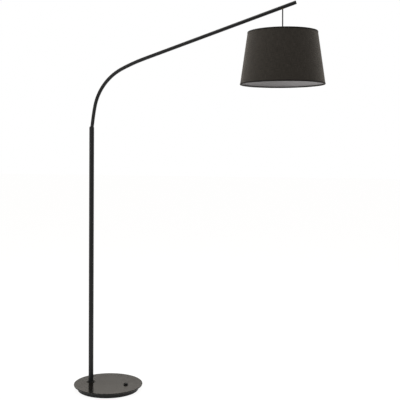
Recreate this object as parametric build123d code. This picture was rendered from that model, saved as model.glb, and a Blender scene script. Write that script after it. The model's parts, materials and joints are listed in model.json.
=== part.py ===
"""Floor lamp with a telescoping, swivelling bent arm and a hanging drum shade.

Millimetres, +Z up.  The origin is the centre of the base's underside, on the floor.
The arm's plane is XZ: the pole stands at -X on the base and the arm reaches to +X.
"""
from build123d import *
from math import cos, radians, sin
import os

# ---- base -----------------------------------------------------------------------------
PLATE_R = 175.0
PLATE_T = 6.0
WEIGHT_R = 155.0
WEIGHT_T = 22.0
PAD_R = 146.0
PAD_T = 1.5
WELL_DEPTH = 14.0
POLE_WELL_R = 24.0
SWITCH_WELL_R = 17.0
CHANNEL_W = 22.0
INLET_W = 9.4
INLET_H = 9.5
PLATE_ROUND = 2.2
SCREW_SPOTS = [(70, 85), (-70, 85), (-70, -85), (70, -85)]
SCREW_R = 2.5
SCREW_HEAD_R = 4.6
SCREW_HEAD_T = 3.2
SCREW_SINK = 5.0
SCREW_BITE = 4.5

WEIGHT_Z = PAD_T
WELL_ROOF_Z = WEIGHT_Z + WELL_DEPTH
PLATE_Z = WEIGHT_Z + WEIGHT_T
TOP_Z = PLATE_Z + PLATE_T

# ---- pole and its fixing --------------------------------------------------------------
POLE_X = -95.0
POLE_R = 12.5
POLE_BORE_R = 11.0
POLE_TOP_Z = 1336.0
FOOT_R = 22.0
FOOT_T = 4.5
STUD_R = 5.0
STUD_BORE_R = 3.2
STUD_LOW_Z = 8.5
STUD_HIGH_Z = 53.0
PLUG_LENGTH = 30.0
WASHER_R = 14.0
WASHER_T = 1.5
NUT_FLATS = 17.0
NUT_T = 5.5

# ---- telescoping arm ------------------------------------------------------------------
ARM_R = 9.0
ARM_BORE_R = 7.8
SPIGOT_LOW_Z = 1006.0
BEND_Z = 1319.0
# each bend of the arm, from the pole outwards: radius, turn in degrees, straight after it
ARM_BENDS = [(150.0, 7.2, 44.0), (940.0, 4.1, 0.0), (268.0, 52.8, 0.0), (940.0, 7.9, 0.0)]
ARM_REACH = 801.5
CAP_T = 2.0
CAP_PLUG = 10.0
COLLAR_H = 8.0
COLLAR_TOP_R = 10.1
RUNNING_GAP = 0.05
GUIDE_LOW_Z = 1265.0
GUIDE_LENGTH = 40.0
GUIDE_SCREW_R = 2.0
SLEEVE_LOW_Z = 1011.0
SLEEVE_LENGTH = 40.0
STOP_RING_R = 10.6
STOP_RING_T = 1.0

# ---- wiring ---------------------------------------------------------------------------
LEAD_R = 1.8
LEAD_BEND_R = 7.0
LEAD_Z = 4.6
COIL_R = 9.5
COIL_LOW_Z = 720.0
FLEX_R = 3.0
TERMINAL_X = -45.0
TERMINAL_L = 30.0
TERMINAL_W = 17.0
TERMINAL_H = 11.0

# ---- foot switch ----------------------------------------------------------------------
SWITCH_X = 95.0
SWITCH_NECK_R = 6.0
SWITCH_BORE_R = 4.2
SWITCH_CAN_R = 13.0
SWITCH_LOW_Z = 4.0
BEZEL_R = 12.5
BEZEL_T = 2.0
BUTTON_R = 10.5
BUTTON_T = 2.4
BUTTON_GAP = 3.2

# ---- hanging shade --------------------------------------------------------------------
SHADE_X = 886.0
SHADE_TOP_Z = 1793.0
SHADE_BOTTOM_Z = 1539.5
SHADE_TOP_R = 167.3
SHADE_BOTTOM_R = 203.2
SKIN_T = 0.8
SKIN_GAP = 0.1
TRIM_T = 0.8
TRIM_H = 6.0
WIRE_R = 2.0
WIRE_INSET = 2 * SKIN_T + SKIN_GAP + WIRE_R + 0.3
TRIM_INSET = WIRE_INSET + WIRE_R + 0.2
SPIDER_ARMS = 3
SPIDER_R = 1.5
HUB_R = 24.0
HUB_Z = 1750.2
HUB_T = 3.2

# ---- ball joint of the hanging cord ---------------------------------------------------
BALL_R = 5.5
BALL_BELOW_AXIS = 3.4
BUSH_R = 7.0
BUSH_SEAT_R = 4.5
BUSH_SEAT_DROP = 3.2
BUSH_FLARE_R = 6.3

# ---- lamp holder and bulb -------------------------------------------------------------
HOLDER_R = 19.5
HOLDER_BORE_R = 16.5
HOLDER_LOW_Z = 1728.0
HOLDER_CAP_Z = 1771.0
HOLDER_CAP_H = 24.0
GRIP_R = 5.0
GRIP_LOW_Z = 1791.0
GRIP_HIGH_Z = 1809.0
CORD_LOW_Z = 1801.0
INSERT_LOW_Z = 1757.0
BULB_R = 30.0
BULB_LOW_Z = 1647.0
BULB_NECK_R = 13.0
BULB_NECK_Z = 1730.0
BULB_CAP_R = 13.2
BULB_CAP_TOP_Z = 1753.0
BULB_WALL = 1.2


def turned(profile, x=0.0):
    """A solid turned about the upright line through x, from (radius, height) points."""
    face = make_face(Polyline(*profile, close=True))
    return Pos(x, 0, 0) * revolve(Plane.XZ * face, Axis.Z)


def disc(radius, low, high, x=0.0, y=0.0):
    """An upright cylinder between two heights."""
    align = (Align.CENTER, Align.CENTER, Align.MIN)
    return Pos(x, y, low) * Cylinder(radius, high - low, align=align)


def ring(outer, inner, low, high, x=0.0, y=0.0):
    """An upright ring between two heights."""
    return disc(outer, low, high, x, y) - disc(inner, low - 1, high + 1, x, y)


def block(low, high):
    """A box from its low corner to its high corner."""
    size = [high[i] - low[i] for i in range(3)]
    align = (Align.MIN, Align.MIN, Align.MIN)
    return Pos(*low) * Box(*size, align=align)


def rod(start, end, radius):
    """A round bar from one point to another."""
    run = Vector(*end) - Vector(*start)
    section = Plane(origin=start, z_dir=run) * Circle(radius)
    return extrude(section, amount=run.length)


def swept(path, section):
    """A section swept along a smooth path, starting square to it."""
    return sweep(Plane(origin=path @ 0, z_dir=path % 0) * section, path=path)


def arm_line(low_z, reach):
    """The arm's centre line: up the spigot, round the bends, then a straight reach."""
    parts = [Line((POLE_X, low_z), (POLE_X, BEND_Z))]
    for radius, turn, run in ARM_BENDS:
        end = parts[-1]
        parts.append(JernArc(end @ 1, end % 1, radius, -turn))
        if run:
            end = parts[-1]
            parts.append(Line(end @ 1, end @ 1 + (end % 1) * run))
    end = parts[-1]
    parts.append(Line(end @ 1, end @ 1 + (end % 1) * reach))
    return Plane.XZ * Wire(parts)


ARM_AXIS = arm_line(SPIGOT_LOW_Z, ARM_REACH)
ARM_TIP = ARM_AXIS @ 1
ARM_END_DIR = ARM_AXIS % 1
ARM_SLOPE = ARM_END_DIR.Z / ARM_END_DIR.X
EXIT_AXIS = Vector(SHADE_X, 0, ARM_TIP.Z - (ARM_TIP.X - SHADE_X) * ARM_SLOPE)
BALL_Z = EXIT_AXIS.Z - BALL_BELOW_AXIS


# ---- base -----------------------------------------------------------------------------
def base_plate():
    plate = disc(PLATE_R, PLATE_Z, TOP_Z)
    plate = fillet(plate.edges().filter_by(GeomType.CIRCLE), PLATE_ROUND)
    plate -= disc(STUD_R + 0.2, PLATE_Z - 1, TOP_Z + 1, POLE_X)
    plate -= disc(SWITCH_NECK_R + 0.1, PLATE_Z - 1, TOP_Z + 1, SWITCH_X)
    for x, y in SCREW_SPOTS:
        plate -= disc(SCREW_R, PLATE_Z - 1, PLATE_Z + SCREW_BITE, x, y)
    return plate


def base_weight():
    weight = disc(WEIGHT_R, WEIGHT_Z, PLATE_Z)
    weight = chamfer(weight.edges().filter_by(GeomType.CIRCLE), 0.8)
    weight -= disc(POLE_WELL_R, WEIGHT_Z - 1, WELL_ROOF_Z, POLE_X)
    weight -= disc(SWITCH_WELL_R, WEIGHT_Z - 1, WELL_ROOF_Z, SWITCH_X)
    half = CHANNEL_W / 2
    weight -= block((POLE_X, -half, WEIGHT_Z - 1), (SWITCH_X, half, WELL_ROOF_Z))
    half = INLET_W / 2
    weight -= block((-WEIGHT_R - 5, -half, WEIGHT_Z - 1), (POLE_X, half, WEIGHT_Z + INLET_H))
    weight -= disc(STUD_R + 0.2, WEIGHT_Z, PLATE_Z + 1, POLE_X)
    weight -= disc(SWITCH_NECK_R + 0.1, WEIGHT_Z, PLATE_Z + 1, SWITCH_X)
    for x, y in SCREW_SPOTS:
        weight -= disc(SCREW_R + 0.3, WEIGHT_Z - 1, PLATE_Z + 1, x, y)
        weight -= disc(SCREW_HEAD_R + 0.9, WEIGHT_Z - 1, WEIGHT_Z + SCREW_SINK, x, y)
    return weight


def base_pad():
    return disc(PAD_R, 0, PAD_T)


def base_screws():
    screws = []
    head_top = WEIGHT_Z + SCREW_SINK
    for x, y in SCREW_SPOTS:
        screw = disc(SCREW_HEAD_R, head_top - SCREW_HEAD_T, head_top, x, y)
        screw += disc(SCREW_R, head_top, PLATE_Z + SCREW_BITE, x, y)
        hexagon = Pos(x, y, head_top - SCREW_HEAD_T) * RegularPolygon(1.7, 6)
        screw -= extrude(hexagon, amount=1.8)
        screws.append(screw)
    return Compound(screws)


def foot_collar():
    collar = ring(FOOT_R, POLE_R + RUNNING_GAP, TOP_Z, TOP_Z + FOOT_T, POLE_X)
    outer_top = collar.edges().filter_by(GeomType.CIRCLE).group_by(Axis.Z)[-1]
    return chamfer(outer_top.sort_by(SortBy.RADIUS)[-1], 1.4)


# ---- pole -----------------------------------------------------------------------------
def pole_tube():
    tube = ring(POLE_R, POLE_BORE_R, TOP_Z, POLE_TOP_Z, POLE_X)
    return tube - guide_screw_hole()


def guide_screw_hole():
    z = GUIDE_LOW_Z + GUIDE_LENGTH / 2
    return rod((POLE_X - POLE_R - 1, 0, z), (POLE_X - ARM_R - 0.7, 0, z), GUIDE_SCREW_R)


def guide_screw():
    z = GUIDE_LOW_Z + GUIDE_LENGTH / 2
    screw = rod((POLE_X - POLE_R, 0, z), (POLE_X - ARM_R - 0.7, 0, z), GUIDE_SCREW_R)
    socket = Plane(origin=(POLE_X - POLE_R, 0, z), z_dir=(1, 0, 0)) * RegularPolygon(1.0, 6)
    return screw - extrude(socket, amount=1.3)


def guide_bush():
    high = GUIDE_LOW_Z + GUIDE_LENGTH
    bush = ring(POLE_BORE_R - 0.02, ARM_R + RUNNING_GAP, GUIDE_LOW_Z, high, POLE_X)
    return bush - guide_screw_hole()


def pole_plug():
    plug = ring(POLE_BORE_R - 0.02, STUD_R, TOP_Z, TOP_Z + PLUG_LENGTH, POLE_X)
    return chamfer(plug.edges().group_by(Axis.Z)[-1], 0.8)


def pole_stud():
    return ring(STUD_R, STUD_BORE_R, STUD_LOW_Z, STUD_HIGH_Z, POLE_X)


def stud_washer():
    return ring(WASHER_R, STUD_R + 0.3, WELL_ROOF_Z - WASHER_T, WELL_ROOF_Z, POLE_X)


def stud_nut():
    high = WELL_ROOF_Z - WASHER_T
    flats = Pos(POLE_X, 0, high - NUT_T) * RegularPolygon(NUT_FLATS / 2, 6, major_radius=False)
    return extrude(flats, amount=NUT_T) - disc(STUD_R, high - NUT_T - 1, high + 1, POLE_X)


# ---- arm ------------------------------------------------------------------------------
def arm_tube():
    path = arm_line(SPIGOT_LOW_Z, ARM_REACH - CAP_T)
    tube = swept(path, Circle(ARM_R) - Circle(ARM_BORE_R))
    return tube - disc(BUSH_R, EXIT_AXIS.Z - 15, EXIT_AXIS.Z, SHADE_X)


def arm_collar():
    z = POLE_TOP_Z
    cone = turned([(0, z), (POLE_R, z), (POLE_R, z + 1), (COLLAR_TOP_R, z + COLLAR_H),
                   (0, z + COLLAR_H)], POLE_X)
    radius, turn, run = ARM_BENDS[0]
    lean = radians(turn)
    foot = Vector(POLE_X + radius * (1 - cos(lean)), 0, BEND_Z + radius * sin(lean))
    up = Vector(sin(lean), 0, cos(lean))
    return cone - rod(foot - up * 20, foot + up * 20, ARM_R + RUNNING_GAP)


def arm_end_cap():
    plane = Plane(origin=ARM_TIP, z_dir=-ARM_END_DIR)
    cap = extrude(plane * Circle(ARM_R), amount=CAP_T)
    rims = cap.edges().filter_by(GeomType.CIRCLE)
    cap = chamfer(rims.sort_by(Axis.X)[-1], 0.5)
    plug = extrude(plane * Circle(ARM_BORE_R - 0.02), amount=CAP_T + CAP_PLUG)
    return cap + plug


def stop_rings():
    low = SLEEVE_LOW_Z - RUNNING_GAP
    high = SLEEVE_LOW_Z + SLEEVE_LENGTH + RUNNING_GAP
    rings = [ring(STOP_RING_R, ARM_R + 0.01, low - STOP_RING_T, low, POLE_X)]
    rings.append(ring(STOP_RING_R, ARM_R + 0.01, high, high + STOP_RING_T, POLE_X))
    return Compound(rings)


def friction_sleeve():
    high = SLEEVE_LOW_Z + SLEEVE_LENGTH
    outer = POLE_BORE_R - RUNNING_GAP
    return ring(outer, ARM_R + RUNNING_GAP, SLEEVE_LOW_Z, high, POLE_X)


def cord_bush():
    """The nylon bush in the arm's lower wall: a ball seat above, a flared mouth below."""
    high = BALL_Z + 1.0
    skin = rod(EXIT_AXIS - ARM_END_DIR * 12, EXIT_AXIS + ARM_END_DIR * 12, ARM_R + 0.2)
    bush = disc(BUSH_R - 0.02, BALL_Z - 12, high, SHADE_X) & skin
    bush -= Pos(SHADE_X, 0, BALL_Z) * Sphere(BALL_R + RUNNING_GAP)
    seat = BALL_Z - BUSH_SEAT_DROP
    flare = [(0, seat + 0.4), (BUSH_SEAT_R, seat + 0.4), (BUSH_SEAT_R, seat),
             (BUSH_FLARE_R, BALL_Z - 7.5), (BUSH_FLARE_R, BALL_Z - 13), (0, BALL_Z - 13)]
    bush -= turned(flare, SHADE_X)
    return bush


# ---- wiring ---------------------------------------------------------------------------
def terminal_block():
    half = TERMINAL_W / 2
    low_z = WELL_ROOF_Z - TERMINAL_H
    body = block((TERMINAL_X, -half, low_z), (TERMINAL_X + TERMINAL_L, half, WELL_ROOF_Z))
    body = chamfer(body.edges().filter_by(Axis.X), 1.0)
    for x, y in terminal_spots():
        body -= disc(1.8, low_z - 1, low_z + 4, x, y)
    return body


def terminal_spots():
    return [(TERMINAL_X + along, side) for along in (7.5, 22.5) for side in (-4, 4)]


def terminal_screws():
    low_z = WELL_ROOF_Z - TERMINAL_H + 1
    screws = []
    for x, y in terminal_spots():
        slot = block((x - 0.4, y - 3, low_z - 1), (x + 0.4, y + 3, low_z + 0.8))
        screws.append(disc(1.75, low_z, low_z + 2.9, x, y) - slot)
    return Compound(screws)


def cable_gland():
    """The strain-relief bush in the weight's rear edge, where a mains lead would enter."""
    half = INLET_W / 2 - 0.05
    high = WEIGHT_Z + INLET_H - 0.1
    body = block((-WEIGHT_R + 1, -half, WEIGHT_Z), (-WEIGHT_R + 16, half, high))
    flange = block((-WEIGHT_R - 3, -half - 1, WEIGHT_Z), (-WEIGHT_R - 0.3, half + 1, high + 1))
    body += flange
    body += block((-WEIGHT_R - 1, -half, WEIGHT_Z), (-WEIGHT_R + 2, half, high))
    z = (WEIGHT_Z + high) / 2
    return body - rod((-WEIGHT_R - 5, 0, z), (-WEIGHT_R + 20, 0, z), 3.1)


def pole_leads():
    """Leads from the terminal block, up through the stud, to the coil in the pole."""
    start = Line((TERMINAL_X - 0.2, LEAD_Z), (POLE_X + LEAD_BEND_R, LEAD_Z))
    bend = JernArc(start @ 1, start % 1, LEAD_BEND_R, -90)
    rise = Line(bend @ 1, (POLE_X, COIL_LOW_Z - 0.3))
    return swept(Plane.XZ * Wire([start, bend, rise]), Circle(LEAD_R))


def switch_leads():
    start = TERMINAL_X + TERMINAL_L + 0.2
    end = SWITCH_X - SWITCH_CAN_R - 0.1
    leads = [rod((start, side, 8.0), (end, side, 8.0), 1.2) for side in (-4, 4)]
    return Compound(leads)


def coiled_flex():
    """The sprung coil of flex in the pole, which pays out as the arm is raised."""
    return ring(COIL_R, COIL_R - 2 * FLEX_R, COIL_LOW_Z, SPIGOT_LOW_Z - 0.3, POLE_X)


def arm_flex():
    reach = (EXIT_AXIS - ARM_TIP).length
    path = arm_line(SPIGOT_LOW_Z, ARM_REACH - reach - 9.0)
    return swept(path, Circle(FLEX_R))


# ---- foot switch ----------------------------------------------------------------------
def switch_body():
    can = disc(SWITCH_CAN_R, SWITCH_LOW_Z, WELL_ROOF_Z, SWITCH_X)
    neck = disc(SWITCH_NECK_R, WELL_ROOF_Z - 1, TOP_Z + BEZEL_T, SWITCH_X)
    return can + neck - disc(SWITCH_BORE_R, 9.0, TOP_Z + 10, SWITCH_X)


def switch_bezel():
    bezel = ring(BEZEL_R, SWITCH_NECK_R, TOP_Z, TOP_Z + BEZEL_T, SWITCH_X)
    rim = bezel.edges().filter_by(GeomType.CIRCLE).group_by(Axis.Z)[-1]
    return chamfer(rim.sort_by(SortBy.RADIUS)[-1], 0.8)


def switch_button():
    low = TOP_Z + BEZEL_T + BUTTON_GAP
    cap = disc(BUTTON_R, low, low + BUTTON_T, SWITCH_X)
    cap = fillet(cap.edges().filter_by(GeomType.CIRCLE).group_by(Axis.Z)[-1], 1.0)
    return cap + disc(SWITCH_BORE_R - RUNNING_GAP, 14.0, low + 1, SWITCH_X)


# ---- hanging cord and shade -----------------------------------------------------------
def cord_ferrule():
    ball = Pos(SHADE_X, 0, BALL_Z) * Sphere(BALL_R)
    return ball - disc(FLEX_R, BALL_Z - 20, BALL_Z - BALL_R + 1.5, SHADE_X)


def suspension_cord():
    return disc(FLEX_R, CORD_LOW_Z, BALL_Z - BALL_R - 0.3, SHADE_X)


def shade_radius(z, inset=0.0):
    """The shade's outer radius at a height, less an inset."""
    share = (z - SHADE_BOTTOM_Z) / (SHADE_TOP_Z - SHADE_BOTTOM_Z)
    return SHADE_BOTTOM_R + (SHADE_TOP_R - SHADE_BOTTOM_R) * share - inset


def skin(inset, low, high):
    """A sloping shell of the shade, SKIN_T thick."""
    profile = [(shade_radius(low, inset), low), (shade_radius(high, inset), high),
               (shade_radius(high, inset + SKIN_T), high), (shade_radius(low, inset + SKIN_T), low)]
    return turned(profile, SHADE_X)


def shade_fabric():
    return skin(0.0, SHADE_BOTTOM_Z + 1, SHADE_TOP_Z - 1)


def shade_lining():
    return skin(SKIN_T + SKIN_GAP, SHADE_BOTTOM_Z + 1, SHADE_TOP_Z - 1)


def shade_trim(rim_z, side):
    """The binding of one rim: folded over it, from outside the fabric to inside the wire."""
    lip_z = rim_z - side * TRIM_T
    low_z = rim_z - side * TRIM_H
    gap = 0.05
    profile = [(shade_radius(rim_z, -TRIM_T), rim_z), (shade_radius(low_z, -TRIM_T), low_z),
               (shade_radius(low_z, -gap), low_z), (shade_radius(lip_z, -gap), lip_z),
               (shade_radius(lip_z, TRIM_INSET), lip_z), (shade_radius(low_z, TRIM_INSET), low_z),
               (shade_radius(low_z, TRIM_INSET + TRIM_T), low_z),
               (shade_radius(rim_z, TRIM_INSET + TRIM_T), rim_z)]
    return turned(profile, SHADE_X)


def shade_top_trim():
    """The top binding, with a notch where each arm of the spider reaches the wire."""
    trim = shade_trim(SHADE_TOP_Z, 1)
    for start, end in spider_lines():
        trim -= rod(start, end, SPIDER_R + 0.3)
    return trim


def wire_ring(rim_z, side):
    z = rim_z - side * (TRIM_T + WIRE_R + 0.1)
    return Pos(SHADE_X, 0, z) * Torus(shade_radius(z, WIRE_INSET), WIRE_R)


def spider_lines():
    """Where each arm of the spider starts, on the hub, and ends, at the top ring."""
    top_z = SHADE_TOP_Z - TRIM_T - WIRE_R - 0.1
    reach = shade_radius(top_z, TRIM_INSET)
    inner = HUB_R - 1.0
    lines = []
    for i in range(SPIDER_ARMS):
        angle = radians(60 + i * 360 / SPIDER_ARMS)
        start = (SHADE_X + inner * cos(angle), inner * sin(angle), HUB_Z + 1.4)
        end = (SHADE_X + reach * cos(angle), reach * sin(angle), top_z)
        lines.append((start, end))
    return lines


def shade_spider():
    """The hub washer on the lamp holder and the sloping arms that reach the top ring."""
    spider = ring(HUB_R, HOLDER_R + 0.2, HUB_Z, HUB_Z + HUB_T, SHADE_X)
    for start, end in spider_lines():
        spider += rod(start, end, SPIDER_R)
    return spider - disc(HOLDER_R + 0.2, HUB_Z - 20, HUB_Z + 20, SHADE_X)


# ---- lamp holder and bulb -------------------------------------------------------------
def cord_grip():
    grip = disc(GRIP_R, GRIP_LOW_Z, GRIP_HIGH_Z, SHADE_X)
    grip = chamfer(grip.edges().group_by(Axis.Z)[-1], 1.0)
    return grip - disc(FLEX_R + RUNNING_GAP, CORD_LOW_Z - 0.3, GRIP_HIGH_Z + 1, SHADE_X)


def holder_cap():
    low = HOLDER_CAP_Z
    high = low + HOLDER_CAP_H
    profile = [(GRIP_R + 0.02, high), (9, high), (15, high - 3), (HOLDER_R, high - 12),
               (HOLDER_R, low), (HOLDER_BORE_R, low), (HOLDER_BORE_R, high - 13),
               (13, high - 5), (GRIP_R + 0.02, high - 3)]
    return turned(profile, SHADE_X)


def holder_body():
    body = ring(HOLDER_R, HOLDER_BORE_R, HOLDER_LOW_Z, HOLDER_CAP_Z, SHADE_X)
    body += ring(HUB_R, HOLDER_BORE_R, HUB_Z + HUB_T, HUB_Z + HUB_T + 3, SHADE_X)
    return body


def holder_insert():
    return disc(HOLDER_BORE_R - 0.1, INSERT_LOW_Z, HOLDER_CAP_Z + 2, SHADE_X)


def holder_thread():
    return ring(HOLDER_BORE_R - 0.1, BULB_CAP_R + 0.5, HOLDER_LOW_Z + 2, INSERT_LOW_Z, SHADE_X)


def holder_contact():
    low = BULB_CAP_TOP_Z + 2.0
    tongue = block((SHADE_X - 2, -3, low), (SHADE_X + 9, 3, low + 0.6))
    return tongue + block((SHADE_X + 8, -3, low), (SHADE_X + 9, 3, INSERT_LOW_Z))


def shade_ring_nut():
    nut = ring(HUB_R + 3, HOLDER_R + 0.05, HUB_Z - 8, HUB_Z, SHADE_X)
    for i in range(12):
        angle = radians(i * 30)
        radius = HUB_R + 4
        nut -= disc(2.0, HUB_Z - 10, HUB_Z + 1, SHADE_X + radius * cos(angle), radius * sin(angle))
    return nut


def bulb_outline(inset):
    """Points of the bulb's half outline: the globe, then the neck that tapers up to the cap."""
    centre = BULB_LOW_Z + BULB_R
    radius = BULB_R - inset
    points = []
    for step in range(0, 14):
        angle = radians(-90 + step * 10)
        points.append((radius * cos(angle), centre + radius * sin(angle)))
    points.append((17.5 - inset, centre + 36))
    points.append((14.0 - inset, centre + 45))
    points.append((BULB_NECK_R - inset, BULB_NECK_Z + 1))
    return points


def bulb_globe():
    outer = bulb_outline(0)
    inner = bulb_outline(BULB_WALL)
    return turned(outer + inner[::-1], SHADE_X)


def bulb_cap():
    high = BULB_CAP_TOP_Z
    low = BULB_NECK_Z + 1.0
    profile = [(0, low), (BULB_CAP_R, low), (BULB_CAP_R, high - 4), (6, high), (4.5, high),
               (4.5, high + 2), (0, high + 2)]
    return turned(profile, SHADE_X)


NODES = {
    "base_plate": base_plate(),
    "base_weight": base_weight(),
    "base_pad": base_pad(),
    "base_screws": base_screws(),
    "foot_collar": foot_collar(),
    "pole_tube": pole_tube(),
    "pole_plug": pole_plug(),
    "pole_stud": pole_stud(),
    "stud_washer": stud_washer(),
    "stud_nut": stud_nut(),
    "guide_bush": guide_bush(),
    "guide_screw": guide_screw(),
    "terminal_block": terminal_block(),
    "terminal_screws": terminal_screws(),
    "cable_gland": cable_gland(),
    "pole_leads": pole_leads(),
    "switch_leads": switch_leads(),
    "coiled_flex": coiled_flex(),
    "switch_body": switch_body(),
    "switch_bezel": switch_bezel(),
    "switch_button": switch_button(),
    "friction_sleeve": friction_sleeve(),
    "arm_tube": arm_tube(),
    "arm_collar": arm_collar(),
    "arm_end_cap": arm_end_cap(),
    "stop_rings": stop_rings(),
    "arm_flex": arm_flex(),
    "cord_bush": cord_bush(),
    "cord_ferrule": cord_ferrule(),
    "suspension_cord": suspension_cord(),
    "cord_grip": cord_grip(),
    "holder_cap": holder_cap(),
    "holder_body": holder_body(),
    "holder_insert": holder_insert(),
    "holder_thread": holder_thread(),
    "holder_contact": holder_contact(),
    "shade_ring_nut": shade_ring_nut(),
    "shade_spider": shade_spider(),
    "shade_top_ring": wire_ring(SHADE_TOP_Z, 1),
    "shade_bottom_ring": wire_ring(SHADE_BOTTOM_Z, -1),
    "shade_lining": shade_lining(),
    "shade_fabric": shade_fabric(),
    "shade_top_trim": shade_top_trim(),
    "shade_bottom_trim": shade_trim(SHADE_BOTTOM_Z, -1),
    "bulb_globe": bulb_globe(),
    "bulb_cap": bulb_cap(),
}

os.makedirs("parts", exist_ok=True)
for node, shape in NODES.items():
    export_step(shape, f"parts/{node}.step")
print(f"arm tip {ARM_TIP}, cord exit axis {EXIT_AXIS}, ball centre height {BALL_Z:.2f}")
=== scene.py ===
"""Looks of the arm floor lamp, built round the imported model.  Metres, +Z up, same frame."""
import bmesh
import bpy
import json
import math
from mathutils import Matrix, Vector


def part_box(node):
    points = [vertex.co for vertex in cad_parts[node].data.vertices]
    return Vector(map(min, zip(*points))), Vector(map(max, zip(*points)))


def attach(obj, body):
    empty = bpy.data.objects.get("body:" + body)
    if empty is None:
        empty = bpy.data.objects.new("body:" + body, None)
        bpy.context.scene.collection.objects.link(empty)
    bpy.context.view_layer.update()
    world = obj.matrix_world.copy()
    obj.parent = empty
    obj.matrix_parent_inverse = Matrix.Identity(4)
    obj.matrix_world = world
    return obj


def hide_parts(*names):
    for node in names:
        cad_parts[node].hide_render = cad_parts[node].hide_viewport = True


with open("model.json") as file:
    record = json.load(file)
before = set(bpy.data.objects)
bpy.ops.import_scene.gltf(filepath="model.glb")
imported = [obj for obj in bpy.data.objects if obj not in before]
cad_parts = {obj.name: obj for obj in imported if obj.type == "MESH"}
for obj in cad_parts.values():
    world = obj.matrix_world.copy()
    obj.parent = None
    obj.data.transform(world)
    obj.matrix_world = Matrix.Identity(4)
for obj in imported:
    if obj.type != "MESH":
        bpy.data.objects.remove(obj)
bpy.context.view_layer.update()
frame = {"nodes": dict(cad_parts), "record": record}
nodes = frame["nodes"]

MM = 0.001
TAU = 2 * math.pi


# ---- places read from the model ---------------------------------------------------------
def middle(node):
    low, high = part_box(node)
    return (low + high) / 2


def radius_of(node):
    low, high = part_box(node)
    return (high.y - low.y) / 2


SHADE_X = middle("shade_fabric").x
POLE_X = middle("pole_tube").x
SWITCH_X = middle("switch_button").x
SHADE_FOOT_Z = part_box("shade_bottom_trim")[0].z
SHADE_HEAD_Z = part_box("shade_top_trim")[1].z
SKIN_T = 0.8 * MM
SHADE_FOOT_R = radius_of("shade_bottom_trim") - SKIN_T
TAPER = (SHADE_FOOT_R + SKIN_T - radius_of("shade_top_trim")) / (
    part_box("shade_top_trim")[0].z - SHADE_FOOT_Z)

# the cloth's seam and the bindings' joins, on the arm's left side and turned towards the pole
SEAM_ANGLE = math.radians(112)
BINDING_ANGLE = math.radians(140)
LAP = 11.0 * MM
LAP_RISE = 10.0 * MM
LAP_DROP = 1.5 * MM
LAP_STEP = SKIN_T + 0.1 * MM
CLOTH_ROUND_R = 0.185  # roughly half way up the shade, where its threads have their exact pitch


def shade_radius(z, inset=0.0):
    """The shade's outer radius at a height, less an inset."""
    return SHADE_FOOT_R - TAPER * (z - SHADE_FOOT_Z) - inset


# ---- camera ----------------------------------------------------------------------------
def make_camera():
    data = bpy.data.cameras.new("camera")
    data.sensor_width = 36.0
    data.lens = 68.5
    data.shift_x = 0.070
    data.shift_y = -0.127
    data.clip_end = 60.0
    camera = bpy.data.objects.new("camera", data)
    bpy.context.scene.collection.objects.link(camera)
    turn = Matrix.Rotation(math.radians(15.92), 4, "Z")
    level = Matrix.Rotation(math.radians(90), 4, "X")
    roll = Matrix.Rotation(math.radians(0.178), 4, "Z")
    place = Matrix.Translation((1.3795, -3.6596, 1.228))
    camera.matrix_world = place @ turn @ level @ roll
    bpy.context.scene.camera = camera


make_camera()


# ---- shader maths ------------------------------------------------------------------------
class Value:
    """A number that varies over a surface.  Sums and products of it become Math nodes."""

    def __init__(self, graph, socket):
        self.graph = graph
        self.socket = socket

    def join(self, operation, *others):
        node = self.graph.node("ShaderNodeMath", {"operation": operation})
        for index, item in enumerate(others):
            self.graph.plug(node.inputs[index], item)
        return Value(self.graph, node.outputs[0])

    def __add__(self, other):
        return self.join("ADD", self, other)

    def __sub__(self, other):
        return self.join("SUBTRACT", self, other)

    def __mul__(self, other):
        return self.join("MULTIPLY", self, other)

    def __rsub__(self, other):
        return self.join("SUBTRACT", other, self)

    __radd__ = __add__
    __rmul__ = __mul__

    def sin(self):
        return self.join("SINE", self)

    def abs(self):
        return self.join("ABSOLUTE", self)

    def angle_to(self, other):
        return self.join("ARCTAN2", self, other)

    def smooth(self, low, high):
        """Eases from 0 at low to 1 at high."""
        sockets = {"Value": self, "From Min": low, "From Max": high}
        node = self.graph.node("ShaderNodeMapRange", {"interpolation_type": "SMOOTHSTEP"}, sockets)
        return Value(self.graph, node.outputs["Result"])


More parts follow.
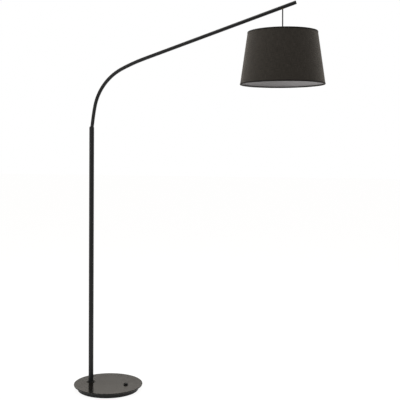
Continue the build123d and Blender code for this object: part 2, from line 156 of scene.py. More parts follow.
class Graph:
    """The nodes of one material or of the world."""

    def __init__(self, tree):
        self.tree = tree
        tree.nodes.clear()

    def node(self, kind, settings=None, sockets=None):
        made = self.tree.nodes.new(kind)
        for key, value in (settings or {}).items():
            setattr(made, key, value)
        for key, value in (sockets or {}).items():
            self.plug(made.inputs[key], value)
        return made

    def plug(self, socket, item):
        if isinstance(item, Value):
            self.tree.links.new(item.socket, socket)
        elif isinstance(item, bpy.types.NodeSocket):
            self.tree.links.new(item, socket)
        elif socket.type == "RGBA" and len(item) == 3:
            socket.default_value = (*item, 1.0)
        else:
            socket.default_value = item

    def place(self):
        """The point on the surface, in metres, which moves with the piece."""
        return self.node("ShaderNodeTexCoord").outputs["Object"]

    def axes(self, point=None):
        split = self.node("ShaderNodeSeparateXYZ", None, {0: point or self.place()})
        return [Value(self, split.outputs[i]) for i in range(3)]

    def point(self, x, y, z):
        return self.node("ShaderNodeCombineXYZ", None, {0: x, 1: y, 2: z}).outputs[0]

    def stretched(self, x, y, z):
        """The surface point with each axis scaled, for grain that runs one way."""
        sockets = {0: self.place(), 1: (x, y, z)}
        return self.node("ShaderNodeVectorMath", {"operation": "MULTIPLY"}, sockets).outputs[0]

    def noise(self, scale, detail=2.0, point=None, roughness=0.5):
        sockets = {"Vector": point or self.place(), "Scale": scale, "Detail": detail,
                   "Roughness": roughness}
        return Value(self, self.node("ShaderNodeTexNoise", None, sockets).outputs[0])

    def blend(self, factor, first, second):
        """A colour between two colours."""
        sockets = {"Factor": factor, 6: first, 7: second}
        return self.node("ShaderNodeMix", {"data_type": "RGBA"}, sockets).outputs[2]


class Finish(Graph):
    """One material: a principled shader, and the nodes that vary it over a surface."""

    def __init__(self, name, **sockets):
        self.material = bpy.data.materials.new(name)
        self.material.use_nodes = True
        super().__init__(self.material.node_tree)
        self.shader = self.node("ShaderNodeBsdfPrincipled")
        self.node("ShaderNodeOutputMaterial", None, {"Surface": self.shader.outputs[0]})
        self.set(**sockets)

    def set(self, **sockets):
        for key, value in sockets.items():
            name = key.replace("_", " ").title().replace("Ior", "IOR")
            self.plug(self.shader.inputs[name], value)

    def bump(self, height, depth, strength=1.0):
        """Relief of a real depth in metres, from a height of 0 to 1."""
        sockets = {"Strength": strength, "Distance": depth, "Height": height}
        made = self.node("ShaderNodeBump", None, sockets)
        self.set(normal=made.outputs[0])
        return self.material


# ---- finishes ----------------------------------------------------------------------------
def powder_coat(name, colour, rough, ior=1.45):
    """Satin stoved paint on steel: fine orange peel, faint handling marks."""
    finish = Finish(name, ior=ior)
    peel = finish.noise(900.0, 3.0)
    cloud = finish.noise(14.0, 3.0)
    rub = finish.noise(70.0, 4.0).smooth(0.55, 0.75)
    lighter = tuple(c * 1.5 + 0.002 for c in colour)
    finish.set(base_color=finish.blend(cloud, colour, lighter))
    finish.set(roughness=cloud * 0.08 + rub * 0.04 + (rough - 0.05))
    return finish.bump(peel, 0.00003, 0.5)


def shade_cloth(name, dark, light, pitch, sheen):
    """Plain-woven cloth laid round the shade: warp and weft threads with slubs."""
    finish = Finish(name, roughness=0.92, sheen_weight=sheen, sheen_roughness=0.45,
                    sheen_tint=(0.75, 0.7, 0.64), specular_ior_level=0.25)
    x, y, z = finish.axes()
    around = y.angle_to(x - SHADE_X) * CLOTH_ROUND_R
    warp = (around * (math.pi / pitch)).sin()
    weft = (z * (math.pi / pitch)).sin()
    crossing = (warp * weft).smooth(-0.15, 0.15)
    thread = warp.abs() * crossing + weft.abs() * (1 - crossing)
    slub_weft = finish.noise(1.0, 3.0, finish.point(around * 40.0, z * 900.0, 0.0))
    slub_warp = finish.noise(1.0, 3.0, finish.point(around * 900.0, z * 40.0, 5.0))
    slub = slub_weft * 0.5 + slub_warp * 0.5
    # the hollows between the threads are painted darker, painted shade in the weave; the slubs
    # vary the cloth's own tone
    slub_tone_and_weave_shade = (slub.smooth(0.35, 0.7)) * 0.7 + thread * 0.3
    finish.set(base_color=finish.blend(slub_tone_and_weave_shade, dark, light))
    return finish.bump(thread * 0.8 + slub * 0.6, 0.0003, 0.7)


def plastic(name, colour, rough, coat=0.0, shine=0.5):
    """Moulded plastic with a faint texture and uneven polish."""
    finish = Finish(name, coat_weight=coat, coat_roughness=0.08, specular_ior_level=shine)
    cloud = finish.noise(60.0, 2.0)
    lighter = tuple(min(c * 1.15 + 0.002, 1.0) for c in colour)
    finish.set(base_color=finish.blend(cloud, colour, lighter))
    finish.set(roughness=cloud * 0.1 + (rough - 0.05))
    return finish.bump(finish.noise(2500.0, 2.0), 0.00002, 0.4)


def metal(name, colour, rough, grain=(60.0, 60.0, 2500.0)):
    """Turned or drawn metal with fine lines along its making."""
    finish = Finish(name, metallic=1.0)
    lines = finish.noise(1.0, 3.0, finish.stretched(*grain))
    stain = finish.noise(90.0, 3.0)
    darker = tuple(c * 0.72 for c in colour)
    finish.set(base_color=finish.blend(stain, darker, colour))
    finish.set(roughness=lines * 0.16 + (rough - 0.06))
    return finish.bump(lines, 0.00002, 0.5)


def lining_film(name):
    """White laminate film inside the shade, faintly quilted by the cloth behind it."""
    finish = Finish(name, coat_weight=0.12, coat_roughness=0.3)
    cloud = finish.noise(9.0, 3.0)
    finish.set(base_color=finish.blend(cloud, (0.40, 0.388, 0.392), (0.44, 0.428, 0.432)))
    finish.set(roughness=cloud * 0.12 + 0.42)
    return finish.bump(finish.noise(420.0, 3.0), 0.00006, 0.4)


def opal(name):
    """Opal bulb glass with its frosted white inside."""
    finish = Finish(name, coat_weight=1.0, coat_roughness=0.04, ior=1.5)
    cloud = finish.noise(25.0, 2.0)
    finish.set(base_color=finish.blend(cloud, (0.80, 0.79, 0.76), (0.87, 0.86, 0.83)))
    finish.set(roughness=cloud * 0.06 + 0.2)
    return finish.material


def rubber(name, colour, rough=0.62):
    """Rubber or soft PVC with a dusty, slightly mottled skin."""
    finish = Finish(name)
    dust = finish.noise(120.0, 4.0).smooth(0.4, 0.75)
    lighter = tuple(c * 1.8 + 0.006 for c in colour)
    finish.set(base_color=finish.blend(dust, colour, lighter))
    finish.set(roughness=dust * 0.12 + (rough - 0.05))
    return finish.bump(finish.noise(1500.0, 3.0), 0.00004, 0.5)


def braided_sleeve(name, dark, light):
    """The cord's woven sleeve: two sets of yarns that wind opposite ways and cross."""
    # two yarns side by side make one wave
    waves = 8.0
    wave_rise = 2.4 * MM
    finish = Finish(name, roughness=0.7, sheen_weight=0.15, sheen_roughness=0.4)
    x, y, z = finish.axes()
    around = y.angle_to(x - SHADE_X) * waves
    climb = z * (TAU / wave_rise)
    right = (around + climb).sin()
    left = (around - climb).sin()
    above = (right * left).smooth(-0.2, 0.2)
    yarn = right.abs() * above + left.abs() * (1 - above)
    fluff = finish.noise(2200.0, 2.0)
    # the yarns' crests are painted lighter and the hollows between them darker, painted shade; the
    # fluff varies the tone at random
    finish.set(base_color=finish.blend(yarn * 0.7 + fluff * 0.3, dark, light))
    return finish.bump(yarn, 0.0002, 0.8)


def cast_iron(name):
    """Black-painted casting with its sand texture."""
    finish = Finish(name, specular_ior_level=0.2)
    sand = finish.noise(600.0, 5.0, roughness=0.65)
    cloud = finish.noise(20.0, 3.0)
    finish.set(base_color=finish.blend(cloud, (0.006, 0.006, 0.006), (0.013, 0.012, 0.011)))
    finish.set(roughness=sand * 0.2 + 0.42)
    return finish.bump(sand, 0.00018, 0.7)


BLACK_TUBE = powder_coat("black_tube_paint", (0.016, 0.016, 0.016), 0.34, 1.28)
BLACK_BASE = powder_coat("black_base_paint", (0.007, 0.006, 0.005), 0.19, 1.32)
FINISHES = {
    "black_tube": BLACK_TUBE,
    "black_base": BLACK_BASE,
    "cast_black": cast_iron("cast_iron_paint"),
    "rubber": rubber("pad_rubber", (0.018, 0.018, 0.018), 0.8),
    "zinc": metal("zinc_plate", (0.62, 0.62, 0.60), 0.3),
    "zinc_black": metal("blackened_steel", (0.06, 0.06, 0.06), 0.4),
    "steel": metal("turned_steel", (0.52, 0.52, 0.52), 0.28),
    "nylon": plastic("natural_nylon", (0.74, 0.71, 0.63), 0.45),
    "white_plastic": plastic("white_plastic", (0.78, 0.78, 0.76), 0.4),
    "black_plastic": plastic("black_plastic", (0.004, 0.004, 0.004), 0.5, 0.0, 0.16),
    "black_flex": rubber("black_flex_sheath", (0.010, 0.010, 0.010), 0.45),
    "cord_braid": braided_sleeve("cord_sleeve", (0.006, 0.006, 0.006), (0.022, 0.021, 0.020)),
    "brown_lead": rubber("brown_lead_sheath", (0.14, 0.05, 0.02), 0.4),
    "brass": metal("turned_brass", (0.80, 0.60, 0.27), 0.25),
    "bakelite": plastic("black_bakelite", (0.012, 0.011, 0.010), 0.24, 0.4),
    "ceramic": plastic("holder_ceramic", (0.82, 0.80, 0.75), 0.22, 0.6),
    "bulb_metal": metal("bulb_cap_metal", (0.78, 0.77, 0.73), 0.25),
    "white_wire": powder_coat("white_wire_coat", (0.55, 0.55, 0.54), 0.4),
    "shade_lining": lining_film("lining_film"),
    "shade_fabric": shade_cloth("charcoal_cloth", (0.018, 0.0155, 0.0125),
                                (0.056, 0.048, 0.039), 0.9 * MM, 0.27),
    "shade_trim": shade_cloth("charcoal_binding", (0.007, 0.006, 0.005),
                              (0.016, 0.014, 0.012), 0.7 * MM, 0.12),
    "opal_glass": opal("opal_bulb_glass"),
}


def dress_nodes():
    """Gives every model node the finish of its material slot."""
    for row in frame["record"]["subparts"]:
        node = nodes[row["node"]]
        finish = FINISHES[row["material_slot"]]
        if not node.material_slots:
            node.data.materials.append(finish)
        for slot in node.material_slots:
            slot.material = finish


# ---- making pieces ---------------------------------------------------------------------------
def ease(share):
    """0 below 0, 1 above 1, and a soft rise between."""
    share = max(0.0, min(1.0, share))
    return share * share * (3 - 2 * share)


def softened(outline, radius, steps=3):
    """A closed outline of (radius, height) points with its corners rounded."""
    rounded = []
    for i, point in enumerate(outline):
        corner = Vector(point)
        if corner.x < 0.01 * MM:
            rounded.append(corner)
            continue
        back = Vector(outline[i - 1]) - corner
        ahead = Vector(outline[(i + 1) % len(outline)]) - corner
        reach = min(radius, 0.45 * back.length, 0.45 * ahead.length)
        start = corner + back.normalized() * reach
        end = corner + ahead.normalized() * reach
        for k in range(steps + 1):
            t = k / steps
            rounded.append(start * (1 - t) ** 2 + corner * (2 * t * (1 - t)) + end * t ** 2)
    return rounded


def new_piece(name, shape, crease=38.0):
    """Turns a bmesh into an object, smooth apart from its sharp edges."""
    bmesh.ops.remove_doubles(shape, verts=shape.verts, dist=1e-6)
    bmesh.ops.recalc_face_normals(shape, faces=shape.faces)
    mesh = bpy.data.meshes.new(name)
    shape.to_mesh(mesh)
    shape.free()
    mesh.shade_smooth()
    mesh.set_sharp_from_angle(angle=math.radians(crease))
    piece = bpy.data.objects.new(name, mesh)
    bpy.context.scene.collection.objects.link(piece)
    return piece


def fit(piece, slot, body, *replaced):
    """Gives a piece its finish and its body, and hides the model nodes that it stands for."""
    piece.data.materials.append(FINISHES[slot])
    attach(piece, body)
    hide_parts(*replaced)


def around_axis(x, reach, angle, z):
    """A point at a reach and an angle from the upright line at x."""
    return x + reach * math.cos(angle), reach * math.sin(angle), z


def join_rings(shape, rings, closed):
    """Faces between neighbouring rings of points, with end faces where it isn't closed."""
    count = len(rings[0])
    last = len(rings) if closed else len(rings) - 1
    for i in range(last):
        here = rings[i]
        there = rings[(i + 1) % len(rings)]
        for j in range(count):
            k = (j + 1) % count
            shape.faces.new((here[j], there[j], there[k], here[k]))
    if not closed:
        shape.faces.new(rings[0])
        shape.faces.new(rings[-1])


def add_turned(shape, outline, x, steps=96, relief=None):
    """Adds a closed outline of (radius, height) points, turned about the upright line at x."""
    rings = []
    for i in range(steps):
        angle = TAU * i / steps
        ring = []
        for radius, z in outline:
            reach = radius + (relief(angle, radius, z) if relief else 0.0)
            ring.append(shape.verts.new(around_axis(x, reach, angle, z)))
        rings.append(ring)
    join_rings(shape, rings, True)


def turned(name, outline, x, steps=96, relief=None, crease=38.0):
    shape = bmesh.new()
    add_turned(shape, outline, x, steps, relief)
    return new_piece(name, shape, crease)


def wall(radius, low_z, high_z, step):
    """Closely spaced points up a straight wall, for relief to shape."""
    count = max(2, round((high_z - low_z) / step))
    return [(radius, low_z + (high_z - low_z) * k / count) for k in range(count + 1)]


def flutes(count, depth, least_r, low_z, high_z):
    """Relief for a turned piece: upright flutes in its outer wall between two heights."""
    def relief(angle, radius, z):
        fluted = radius > least_r and low_z < z < high_z
        return -depth * (0.5 - 0.5 * math.cos(count * angle)) if fluted else 0.0
    return relief


def screw_thread(pitch, depth, least_r, low_z, high_z):
    """Relief for a turned piece: a rounded screw thread between two heights."""
    def relief(angle, radius, z):
        if radius < least_r or not low_z < z < high_z:
            return 0.0
        fade = min(1.0, (z - low_z) / pitch, (high_z - z) / pitch)
        return -depth * fade * (0.5 - 0.5 * math.cos(TAU * z / pitch - angle))
    return relief


def flowing(points, per_span=6):
    """Points along a smooth line through the given ones."""
    ends = [points[0] * 2 - points[1], *points, points[-1] * 2 - points[-2]]
    line = []
    for i in range(1, len(ends) - 2):
        a, b, c, d = ends[i - 1:i + 3]
        for k in range(per_span):
            t = k / per_span
            bend = b * 2 + (c - a) * t + (a * 2 - b * 5 + c * 4 - d) * t ** 2
            line.append((bend + (b * 3 - a - c * 3 + d) * t ** 3) * 0.5)
    line.append(points[-1])
    return line


def add_wire(shape, points, radius, sides=14):
    """Adds a round wire along a line of points."""
    side = (points[1] - points[0]).orthogonal()
    rings = []
    for i, point in enumerate(points):
        ahead = points[min(i + 1, len(points) - 1)] - points[max(i - 1, 0)]
        ahead.normalize()
        side = (side - ahead * side.dot(ahead)).normalized()
        other = ahead.cross(side)
        ring = []
        for k in range(sides):
            angle = TAU * k / sides
            around = side * math.cos(angle) + other * math.sin(angle)
            ring.append(shape.verts.new(point + around * radius))
        rings.append(ring)
    join_rings(shape, rings, False)


def add_bead(shape, centre, size):
    """Adds a small lump of weld."""
    made = bmesh.ops.create_uvsphere(shape, u_segments=14, v_segments=8, radius=1.0)
    for vert in made["verts"]:
        lump = 1.0 + 0.07 * math.sin(7 * vert.co.x + 5 * vert.co.y + 3 * vert.co.z)
        vert.co = centre + Vector(size) * vert.co * lump


# ---- the hanging cord ------------------------------------------------------------------------
def hanging_cord():
    """The flex that carries the shade, pulled straight by its weight."""
    low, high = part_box("suspension_cord")
    thick = radius_of("suspension_cord")
    heights = [high.z, high.z - 0.018, high.z - 0.05, high.z - 0.075, low.z]
    curve = bpy.data.curves.new("hanging_cord", "CURVE")
    curve.dimensions = "3D"
    curve.bevel_depth = thick
    curve.bevel_resolution = 8
    curve.resolution_u = 12
    curve.use_fill_caps = True
    spline = curve.splines.new("NURBS")
    spline.points.add(len(heights) - 1)
    for point, z in zip(spline.points, heights):
        point.co = (SHADE_X, 0.0, z, 1.0)
    spline.order_u = 3
    spline.use_endpoint_u = True
    cord = bpy.data.objects.new("hanging_cord", curve)
    bpy.context.scene.collection.objects.link(cord)
    fit(cord, "cord_braid", "cord", "suspension_cord")


# ---- the shade's cloth, lining, bindings and wires ---------------------------------------------
def lap_lift(angle):
    """How far the cloth's lapped end stands off the cloth under it, from 0 to 1."""
    past = (angle - SEAM_ANGLE + math.pi) % TAU - math.pi
    run = past * SHADE_FOOT_R
    return ease((run + LAP_RISE) / LAP_RISE) * (1 - ease((run - LAP) / LAP_DROP))


def rolled_strip(name, inset, outward, steps=288, rows=8):
    """A strip rolled into the shade's cone, its end lapped over (or under) its start."""
    low_z = SHADE_FOOT_Z + 1.0 * MM
    high_z = SHADE_HEAD_Z - 1.0 * MM
    around = TAU + LAP / SHADE_FOOT_R
    shape = bmesh.new()
    sections = []
    for i in range(steps + 1):
        turn = around * i / steps
        angle = SEAM_ANGLE + turn
        run = (turn - TAU) * SHADE_FOOT_R
        lift = outward * LAP_STEP * ease((run + LAP_RISE) / LAP_RISE)
        section = []
        for k in range(2 * rows + 2):
            outside = k <= rows
            share = k / rows if outside else (2 * rows + 1 - k) / rows
            z = low_z + (high_z - low_z) * share
            reach = shade_radius(z, inset if outside else inset + SKIN_T) + lift
            section.append(shape.verts.new(around_axis(SHADE_X, reach, angle, z)))
        sections.append(section)
    join_rings(shape, sections, False)
    return new_piece(name, shape)


def cone_cut():
    """The width, height and area of the flat piece that rolls into the shade's cone."""
    height = SHADE_HEAD_Z - SHADE_FOOT_Z - 2.0 * MM
    head_r = shade_radius(SHADE_HEAD_Z)
    slant = math.hypot(height, SHADE_FOOT_R - head_r)
    outer = slant * SHADE_FOOT_R / (SHADE_FOOT_R - head_r)
    opening = (TAU * SHADE_FOOT_R + LAP) / outer
    wide = 2 * outer * math.sin(opening / 2)
    tall = outer - (outer - slant) * math.cos(opening / 2)
    area = slant * (math.pi * (SHADE_FOOT_R + head_r) + LAP)
    return (wide, tall), area


def rim_binding(name, rim_z, side, steps=360):
    """Cloth tape folded over a rim, from outside the cloth to inside the wire, lapped once."""
    deep = 6.0 * MM
    inner = 6.9 * MM
    thick = 0.7 * MM
    roll = 1.3 * MM
    lap_step = 0.55 * MM
    lap_turn = 9.0 * MM / SHADE_FOOT_R
    shape = bmesh.new()
    sections = []
    for i in range(steps + 1):
        turn = (TAU + lap_turn) * i / steps
        angle = BINDING_ANGLE + turn
        over = lap_step * ease(3 * (turn - TAU) / lap_turn + 1.0)
        rise = 0.4 * over
        inside = inner + rise
        out = -SKIN_T - LAP_STEP * lap_lift(angle) - over
        hem = deep + 0.16 * MM * math.sin(9 * angle + 1.0) + 0.1 * MM * math.sin(23 * angle)
        turned_in = deep - 0.3 * MM + 0.2 * MM * math.sin(11 * angle + 2.0)
        outline = [(out, hem - 0.3 * MM), (out, roll), (out + 0.3 * roll, 0.3 * roll),
                   (out + roll, 0.0), (inside - roll, 0.0), (inside - 0.3 * roll, 0.3 * roll),
                   (inside, roll), (inside, turned_in), (inside - thick, turned_in),
                   (inside - thick, roll + 0.4 * MM), (inside - roll, thick + 0.1 * MM),
                   (out + roll + 0.2 * MM, thick + 0.1 * MM), (out + thick, roll + 0.4 * MM),
                   (out + thick, hem), (out + 0.3 * MM, hem)]
        section = []
        for inset, depth in outline:
            z = rim_z - side * (depth - rise)
            reach = shade_radius(z, inset)
            section.append(shape.verts.new(around_axis(SHADE_X, reach, angle, z)))
        sections.append(section)
    join_rings(shape, sections, False)
    return new_piece(name, shape, 60.0)


def make_shade():
    top = rim_binding("top_binding", SHADE_HEAD_Z, 1)
    foot = rim_binding("bottom_binding", SHADE_FOOT_Z, -1)
    fit(top, "shade_trim", "pendant", "shade_top_trim")
    fit(foot, "shade_trim", "pendant", "shade_bottom_trim")
    film = rolled_strip("shade_film", SKIN_T + 0.1 * MM, -1)
    fit(film, "shade_lining", "pendant", "shade_lining")
    cloth = rolled_strip("shade_cloth", 0.0, 1)
    fit(cloth, "shade_fabric", "pendant", "shade_fabric")
    flat, area = cone_cut()


def make_spider():
    """The washer on the lamp holder and three sprung wires, welded to it and to the top ring."""
    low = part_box("shade_spider")[0].z
    hub_r = radius_of("holder_body")
    bore = radius_of("holder_cap") + 0.3 * MM
    outline = [(bore, low + 1.0 * MM), (hub_r - 2.6 * MM, low + 1.0 * MM),
               (hub_r - 1.2 * MM, low + 0.1 * MM), (hub_r, low + 0.1 * MM),
               (hub_r, low + 1.4 * MM), (hub_r - 1.6 * MM, low + 3.0 * MM), (bore, low + 3.0 * MM)]
    shape = bmesh.new()
    add_turned(shape, softened(outline, 0.4 * MM), SHADE_X)
    ring_z = middle("shade_top_ring").z
    reach = radius_of("shade_top_ring") - 4.0 * MM
    start_z = low + 1.4 * MM
    slope = (ring_z - start_z) / (reach - hub_r)
    stops = [(hub_r - 1.5 * MM, start_z), (hub_r + 4 * MM, start_z + 0.6 * MM),
             (hub_r + 14 * MM, start_z + slope * 12.5 * MM),
             (reach - 18 * MM, ring_z - slope * 18.5 * MM),
             (reach - 6 * MM, ring_z - slope * 5.0 * MM), (reach + 0.2 * MM, ring_z)]
    for i in range(3):
        angle = math.radians(60 + 120 * i)
        out = Vector((math.cos(angle), math.sin(angle), 0.0))
        line = [Vector((SHADE_X, 0.0, z)) + out * radius for radius, z in stops]
        add_wire(shape, flowing(line), 1.5 * MM)
        add_bead(shape, line[-1] - out * 0.3 * MM, (1.9 * MM, 1.9 * MM, 1.6 * MM))
        add_bead(shape, line[0] + out * 1.2 * MM, (2.0 * MM, 2.0 * MM, 1.7 * MM))
    fit(new_piece("spider", shape), "white_wire", "pendant", "shade_spider")


# ---- lamp holder and bulb ----------------------------------------------------------------------
def make_holder_shell():
    """The threaded body of the lamp holder, with the flange that the spider hangs on."""
    low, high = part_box("holder_body")
    skirt_r = radius_of("holder_cap")
    flange_r = radius_of("holder_body")
    flange_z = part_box("shade_ring_nut")[1].z + 3.2 * MM
    bore = skirt_r - 3.0 * MM
    outline = [(bore, high.z), (bore, low.z + 0.6 * MM), (bore + 0.6 * MM, low.z),
               (skirt_r - 0.8 * MM, low.z)]
    outline += wall(skirt_r, low.z + 0.6 * MM, flange_z - 0.3 * MM, 0.45 * MM)
    outline += [(flange_r, flange_z), (flange_r, flange_z + 2.2 * MM),
                (flange_r - 0.8 * MM, flange_z + 3.0 * MM),
                (skirt_r + 0.2 * MM, flange_z + 3.0 * MM),
                (skirt_r, flange_z + 3.4 * MM), (skirt_r, high.z)]
    thread = screw_thread(2.8 * MM, 0.8 * MM, skirt_r - 0.2 * MM, low.z, flange_z - 3.2 * MM)
    shell = turned("holder_shell", outline, SHADE_X, 120, thread)
    fit(shell, "bakelite", "pendant", "holder_body")


def make_holder_dome():
    """The domed cap of the lamp holder, ribbed round its foot for the fingers."""
    low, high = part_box("holder_cap")
    skirt_r = radius_of("holder_cap")
    neck_r = radius_of("cord_grip")
    collar_r = neck_r + 2.2 * MM
    rib_top = low.z + 10.0 * MM
    outline = [(skirt_r - 3.0 * MM, low.z), (skirt_r - 0.5 * MM, low.z)]
    outline += wall(skirt_r, low.z + 0.5 * MM, rib_top + 0.8 * MM, 1.0 * MM)
    for k in range(1, 11):
        turn = math.radians(9 * k)
        outline.append((collar_r + (skirt_r - collar_r) * math.cos(turn),
                        rib_top + 1.0 * MM + 9.0 * MM * math.sin(turn)))
    outline += [(collar_r - 0.1 * MM, high.z - 0.5 * MM), (collar_r - 0.6 * MM, high.z),
                (neck_r + 0.05 * MM, high.z), (neck_r + 0.05 * MM, high.z - 5.0 * MM),
                (skirt_r - 8.0 * MM, high.z - 7.0 * MM), (skirt_r - 3.0 * MM, high.z - 14.0 * MM)]
    ribs = flutes(48, 0.4 * MM, skirt_r - 0.1 * MM, low.z + 1.0 * MM, rib_top)
    dome = turned("holder_dome", outline, SHADE_X, 288, ribs, 32.0)
    fit(dome, "bakelite", "pendant", "holder_cap")


def make_ring_nut():
    """The ring that clamps the spider to the holder, scalloped for the fingers."""
    low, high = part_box("shade_ring_nut")
    outer = radius_of("shade_ring_nut")
    bore = radius_of("holder_cap") + 0.1 * MM
    outline = softened([(bore, low.z), (outer - 1.0 * MM, low.z), (outer, low.z + 1.4 * MM),
                        (outer, high.z), (bore, high.z)], 0.6 * MM)
    scallops = flutes(24, 1.0 * MM, outer - 0.5 * MM, low.z + 0.3 * MM, high.z + 1.0 * MM)
    nut = turned("ring_nut", outline, SHADE_X, 288, scallops)
    fit(nut, "bakelite", "pendant", "shade_ring_nut")


def make_cord_grip():
    """The clamp nipple on top of the lamp holder, ribbed, that holds the cord."""
    low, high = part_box("cord_grip")
    outer = radius_of("cord_grip")
    bore = radius_of("suspension_cord") + 0.1 * MM
    outline = [(0.0, low.z), (outer, low.z), (outer, low.z + 5.5 * MM)]
    for k in range(5):
        z = low.z + (6.0 + 1.7 * k) * MM
        outline += [(outer - 0.7 * MM, z), (outer - 0.7 * MM, z + 0.5 * MM),
                    (outer, z + 0.8 * MM), (outer, z + 1.3 * MM)]
    outline += [(outer - 0.5 * MM, high.z - 1.6 * MM), (outer - 1.4 * MM, high.z),
                (bore, high.z), (bore, low.z + 9.6 * MM), (0.0, low.z + 9.6 * MM)]
    grip = turned("cord_nipple", softened(outline, 0.25 * MM, 2), SHADE_X, 72)
    fit(grip, "black_plastic", "pendant", "cord_grip")


def make_bulb():
    """An opal globe whose neck flows into a threaded cap."""
    low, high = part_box("bulb_globe")
    globe_r = radius_of("bulb_globe")
    neck_r = radius_of("bulb_cap") - 0.2 * MM
    turns = [math.radians(-90 + 5 * k) for k in range(27)]
    outside = [(globe_r * math.cos(t), low.z + globe_r + globe_r * math.sin(t)) for t in turns]
    start_r, start_z = outside[-1]
    run = high.z - start_z
    for k in range(1, 15):
        share = k / 14
        fall = (1 - share) ** 2 * (1 + 0.6 * share)
        outside.append((neck_r + (start_r - neck_r) * fall, start_z + run * share))
    glass = 1.2 * MM
    inside = [(max(0.0, r - glass), max(z, low.z + glass)) for r, z in outside]
    inside[0] = (0.0, low.z + glass)
    globe = turned("bulb_glass", outside + inside[::-1], SHADE_X, 96, None, 60.0)
    fit(globe, "opal_glass", "pendant", "bulb_globe")
    foot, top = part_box("bulb_cap")
    cap_r = radius_of("bulb_cap")
    thread_top = foot.z + 18.0 * MM
    outline = [(0.0, foot.z), (cap_r - 0.4 * MM, foot.z)]
    outline += wall(cap_r, foot.z + 0.3 * MM, thread_top, 0.45 * MM)
    outline += [(cap_r - 1.2 * MM, thread_top + 0.6 * MM), (8.0 * MM, thread_top + 2.6 * MM),
                (5.0 * MM, top.z - 1.6 * MM), (4.4 * MM, top.z - 0.3 * MM), (0.0, top.z)]
    coil = screw_thread(3.6 * MM, 1.0 * MM, cap_r - 0.1 * MM, foot.z + 2.0 * MM, thread_top)
    fit(turned("bulb_screw_cap", outline, SHADE_X, 96, coil), "bulb_metal", "pendant", "bulb_cap")


# ---- base, foot switch and foot of the pole ---------------------------------------------------
def make_plate(steps=300):
    """The round plate: a rolled edge, and bores for the pole's stud and the switch."""
    low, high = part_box("base_plate")
    outer = radius_of("base_plate")
    edge = 2.2 * MM
    flat = outer - edge - 0.8 * MM
    quarter = [math.radians(15 * k) for k in range(7)]
    outline = [(flat, low.z)]
    for t in quarter:
        outline.append((outer - edge + edge * math.sin(t), low.z + edge - edge * math.cos(t)))
    for t in quarter:
        outline.append((outer - edge + edge * math.cos(t), high.z - edge + edge * math.sin(t)))
    outline += [(flat, high.z)]
    shape = bmesh.new()
    columns = [(0.0, steps, outline)]
    for x, bore in ((POLE_X, 5.2 * MM), (SWITCH_X, 6.1 * MM)):
        columns.append((x, 48, [(bore, low.z), (bore, high.z)]))
    foot_edges = []
    top_edges = []
    for x, count, profile in columns:
        rings = []
        for i in range(count):
            angle = TAU * i / count
            ring = []
            for r, z in profile:
                ring.append(shape.verts.new(around_axis(x, r, angle, z)))
            rings.append(ring)
        for i, here in enumerate(rings):
            there = rings[(i + 1) % count]
            for j in range(len(profile) - 1):
                shape.faces.new((here[j], there[j], there[j + 1], here[j + 1]))
            foot_edges.append(shape.edges.get((here[0], there[0])))
            top_edges.append(shape.edges.get((here[-1], there[-1])))
    for edges in (foot_edges, top_edges):
        bmesh.ops.triangle_fill(shape, use_beauty=True, edges=edges)
    fit(new_piece("round_plate", shape), "black_base", "base", "base_plate")


def make_switch():
    low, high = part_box("switch_bezel")
    outer = radius_of("switch_bezel")
    neck = outer - 6.4 * MM
    outline = [(neck, low.z), (outer, low.z)]
    outline += wall(outer, low.z + 0.2 * MM, high.z - 0.7 * MM, 0.4 * MM)
    outline += [(outer - 0.6 * MM, high.z - 0.1 * MM), (outer - 1.1 * MM, high.z),
                (outer - 3.2 * MM, high.z), (outer - 3.5 * MM, high.z - 0.5 * MM),
                (outer - 4.4 * MM, high.z - 0.5 * MM), (outer - 4.7 * MM, high.z), (neck, high.z)]
    knurl = flutes(60, 0.35 * MM, outer - 0.1 * MM, low.z + 0.1 * MM, high.z - 0.5 * MM)
    ring = turned("switch_ring", outline, SWITCH_X, 300, knurl, 32.0)
    fit(ring, "black_plastic", "base", "switch_bezel")
    low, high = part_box("switch_button")
    outer = radius_of("switch_button")
    stem = 4.15 * MM
    under = high.z - 2.4 * MM
    outline = [(0.0, low.z), (stem, low.z), (stem, under), (outer - 0.4 * MM, under),
               (outer, under + 0.4 * MM), (outer, high.z - 0.9 * MM),
               (outer - 0.25 * MM, high.z - 0.35 * MM),
               (outer - 0.9 * MM, high.z - 0.05 * MM), (outer - 1.8 * MM, high.z),
               (outer - 2.3 * MM, high.z - 0.1 * MM), (outer - 2.5 * MM, high.z - 0.5 * MM),
               (outer - 2.9 * MM, high.z - 0.5 * MM), (outer - 3.1 * MM, high.z - 0.1 * MM),
               (outer - 4.5 * MM, high.z - 0.18 * MM), (outer - 7.5 * MM, high.z - 0.38 * MM),
               (0.0, high.z - 0.45 * MM)]
    button = turned("switch_cap", outline, SWITCH_X, 96)
    fit(button, "black_plastic", "button", "switch_button")


def make_foot_collar():
    """The thin moulded collar that covers the pole's joint with the plate."""
    low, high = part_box("foot_collar")
    outer = radius_of("foot_collar")
    bore = radius_of("pole_tube") + 0.05 * MM
    outline = [(bore, low.z), (outer, low.z), (outer, low.z + 1.5 * MM),
               (bore + 2.6 * MM, high.z), (bore + 1.0 * MM, high.z), (bore, high.z - 0.8 * MM)]
    collar = turned("foot_ring", softened(outline, 0.9 * MM, 4), POLE_X, 128)
    fit(collar, "black_plastic", "base", "foot_collar")


dress_nodes()
hanging_cord()
make_shade()
make_spider()
make_holder_shell()
make_holder_dome()
make_ring_nut()
make_cord_grip()
make_bulb()
make_plate()
make_switch()
make_foot_collar()


# ---- studio --------------------------------------------------------------------------------
FRONT_LIGHT = 0.28
BACK_LIGHT = 1.0


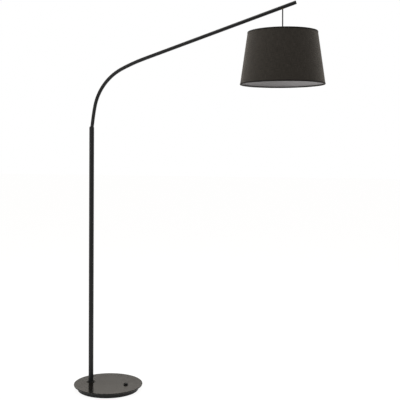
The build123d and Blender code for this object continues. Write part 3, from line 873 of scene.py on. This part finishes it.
def make_world():
    """A pale studio, bright behind the lamp and dim in front, with a dark band low in the sky."""
    world = bpy.data.worlds.new("studio")
    world.use_nodes = True
    graph = Graph(world.node_tree)
    direction = graph.node("ShaderNodeTexCoord").outputs["Generated"]
    _, y, z = graph.axes(direction)
    back = FRONT_LIGHT + (BACK_LIGHT - FRONT_LIGHT) * y.smooth(-0.35, 0.55)
    dark_band = z.smooth(0.195, 0.21)
    bright_band = z.smooth(0.297, 0.337)
    overhead = z.smooth(0.36, 0.46)
    height = 1 - dark_band * 0.88 + bright_band * 2.0 - overhead * 1.5
    tint = graph.blend(z.smooth(0.22, 0.34), (1.0, 1.0, 1.0), (1.0, 0.93, 0.84))
    sockets = {"Color": tint, "Strength": back * height}
    light = graph.node("ShaderNodeBackground", None, sockets)
    graph.node("ShaderNodeOutputWorld", None, {"Surface": light.outputs[0]})
    bpy.context.scene.world = world


def softbox(name, place, aim, width, height, watts):
    data = bpy.data.lights.new(name, "AREA")
    data.shape = "RECTANGLE"
    data.size = width
    data.size_y = height
    data.energy = watts
    lamp = bpy.data.objects.new(name, data)
    bpy.context.scene.collection.objects.link(lamp)
    lamp.location = place
    lamp.rotation_euler = (Vector(aim) - Vector(place)).to_track_quat("-Z", "Y").to_euler()


def make_floor():
    """A flat pale floor that glows, its painted light bright behind the lamp and falling to grey
    in front of it.
    """
    size = 30.0
    mesh = bpy.data.meshes.new("floor")
    corners = [(-size, -size, 0), (size, -size, 0), (size, size, 0), (-size, size, 0)]
    mesh.from_pydata(corners, [], [(0, 1, 2, 3)])
    floor = bpy.data.objects.new("floor", mesh)
    bpy.context.scene.collection.objects.link(floor)
    finish = Finish("pale_floor", roughness=0.9, specular_ior_level=0.0)
    x, y, _ = finish.axes()
    behind = y * 0.96 - x * 0.27
    lit = behind.smooth(-1.9, -0.19)
    cloud = finish.noise(2.0, 3.0)
    finish.set(base_color=finish.blend(cloud, (0.15, 0.15, 0.15), (0.16, 0.16, 0.16)))
    finish.set(emission_strength=1.0)
    # painted light: the floor's glow, strong behind the lamp and dim in front
    finish.set(emission_color=finish.blend(lit, (0.25, 0.25, 0.25), (0.93, 0.93, 0.93)))
    mesh.materials.append(finish.material)


make_world()
make_floor()
softbox("overhead", (0.4, -0.4, 4.2), (0.4, 0.0, 0.0), 3.6, 3.0, 90.0)
softbox("left_front", (-1.1, -2.9, 1.5), (-0.1, 0.0, 1.1), 0.6, 1.4, 18.0)
bpy.context.scene.view_settings.view_transform = "Standard"
